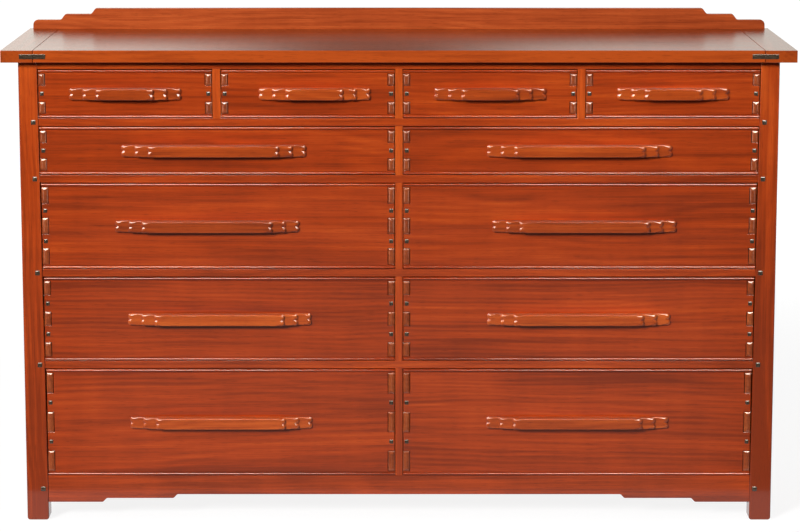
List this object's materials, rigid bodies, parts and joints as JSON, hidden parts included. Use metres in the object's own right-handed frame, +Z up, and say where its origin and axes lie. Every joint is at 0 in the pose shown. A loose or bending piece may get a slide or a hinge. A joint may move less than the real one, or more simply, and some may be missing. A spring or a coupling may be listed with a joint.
{
  "type": "chest of drawers",
  "caption": "Long double chest of small and wide drawers in reddish hardwood, with black pegs, stepped wooden pulls, breadboard top and a low stepped backsplash.",
  "frame": {"origin": "centre of the bounding box at the base, in the plane of the feet", "axes": "+X to the right of someone who faces the front, +Y from the front to the back, +Z up"},
  "size_m": [1.829, 0.537, 1.169],
  "materials": {
    "case_wood": "satin oil and wax",
    "top_wood": "polished, semi-gloss",
    "front_wood": "satin oil and wax",
    "pull_wood": "satin, eased edges",
    "box_wood": "satin, end grain at the fingers",
    "inner_wood": "plain, lightly sealed",
    "ebony": "polished black hardwood"
  },
  "bodies": {
    "case": {"post_front_left": "case_wood", "post_front_right": "case_wood", "post_back_left": "case_wood", "post_back_right": "case_wood", "apron": "case_wood", "side_left": "case_wood", "side_right": "case_wood", "back_frame": "case_wood", "back_panel": "inner_wood", "drawer_frame_1": "case_wood", "drawer_frame_2": "case_wood", "drawer_frame_3": "case_wood", "drawer_frame_4": "case_wood", "drawer_frame_5": "case_wood", "top_frame": "case_wood", "centre_partition": "case_wood", "short_stile_left": "case_wood", "short_stile_right": "case_wood", "top_panel": "top_wood", "breadboard_left": "top_wood", "breadboard_right": "top_wood", "spline_left": "ebony", "spline_right": "ebony", "backsplash": "case_wood"},
    "drawer_1a": {"drawer_1a_front": "front_wood", "drawer_1a_box": "box_wood", "drawer_1a_pull": "pull_wood"},
    "drawer_1b": {"drawer_1b_front": "front_wood", "drawer_1b_box": "box_wood", "drawer_1b_pull": "pull_wood"},
    "drawer_1c": {"drawer_1c_front": "front_wood", "drawer_1c_box": "box_wood", "drawer_1c_pull": "pull_wood"},
    "drawer_1d": {"drawer_1d_front": "front_wood", "drawer_1d_box": "box_wood", "drawer_1d_pull": "pull_wood"},
    "drawer_2_left": {"drawer_2_left_front": "front_wood", "drawer_2_left_box": "box_wood", "drawer_2_left_pull": "pull_wood"},
    "drawer_2_right": {"drawer_2_right_front": "front_wood", "drawer_2_right_box": "box_wood", "drawer_2_right_pull": "pull_wood"},
    "drawer_3_left": {"drawer_3_left_front": "front_wood", "drawer_3_left_box": "box_wood", "drawer_3_left_pull": "pull_wood"},
    "drawer_3_right": {"drawer_3_right_front": "front_wood", "drawer_3_right_box": "box_wood", "drawer_3_right_pull": "pull_wood"},
    "drawer_4_left": {"drawer_4_left_front": "front_wood", "drawer_4_left_box": "box_wood", "drawer_4_left_pull": "pull_wood"},
    "drawer_4_right": {"drawer_4_right_front": "front_wood", "drawer_4_right_box": "box_wood", "drawer_4_right_pull": "pull_wood"},
    "drawer_5_left": {"drawer_5_left_front": "front_wood", "drawer_5_left_box": "box_wood", "drawer_5_left_pull": "pull_wood"},
    "drawer_5_right": {"drawer_5_right_front": "front_wood", "drawer_5_right_box": "box_wood", "drawer_5_right_pull": "pull_wood"}
  },
  "joints": [
    {"name": "drawer_1a_slide", "type": "slide", "parent": "case", "child": "drawer_1a", "axis": [0, -1, 0], "range_m": [0, 0.38]},
    {"name": "drawer_1b_slide", "type": "slide", "parent": "case", "child": "drawer_1b", "axis": [0, -1, 0], "range_m": [0, 0.38]},
    {"name": "drawer_1c_slide", "type": "slide", "parent": "case", "child": "drawer_1c", "axis": [0, -1, 0], "range_m": [0, 0.38]},
    {"name": "drawer_1d_slide", "type": "slide", "parent": "case", "child": "drawer_1d", "axis": [0, -1, 0], "range_m": [0, 0.38]},
    {"name": "drawer_2_left_slide", "type": "slide", "parent": "case", "child": "drawer_2_left", "axis": [0, -1, 0], "range_m": [0, 0.38]},
    {"name": "drawer_2_right_slide", "type": "slide", "parent": "case", "child": "drawer_2_right", "axis": [0, -1, 0], "range_m": [0, 0.38]},
    {"name": "drawer_3_left_slide", "type": "slide", "parent": "case", "child": "drawer_3_left", "axis": [0, -1, 0], "range_m": [0, 0.38]},
    {"name": "drawer_3_right_slide", "type": "slide", "parent": "case", "child": "drawer_3_right", "axis": [0, -1, 0], "range_m": [0, 0.38]},
    {"name": "drawer_4_left_slide", "type": "slide", "parent": "case", "child": "drawer_4_left", "axis": [0, -1, 0], "range_m": [0, 0.38]},
    {"name": "drawer_4_right_slide", "type": "slide", "parent": "case", "child": "drawer_4_right", "axis": [0, -1, 0], "range_m": [0, 0.38]},
    {"name": "drawer_5_left_slide", "type": "slide", "parent": "case", "child": "drawer_5_left", "axis": [0, -1, 0], "range_m": [0, 0.38]},
    {"name": "drawer_5_right_slide", "type": "slide", "parent": "case", "child": "drawer_5_right", "axis": [0, -1, 0], "range_m": [0, 0.38]}
  ]
}
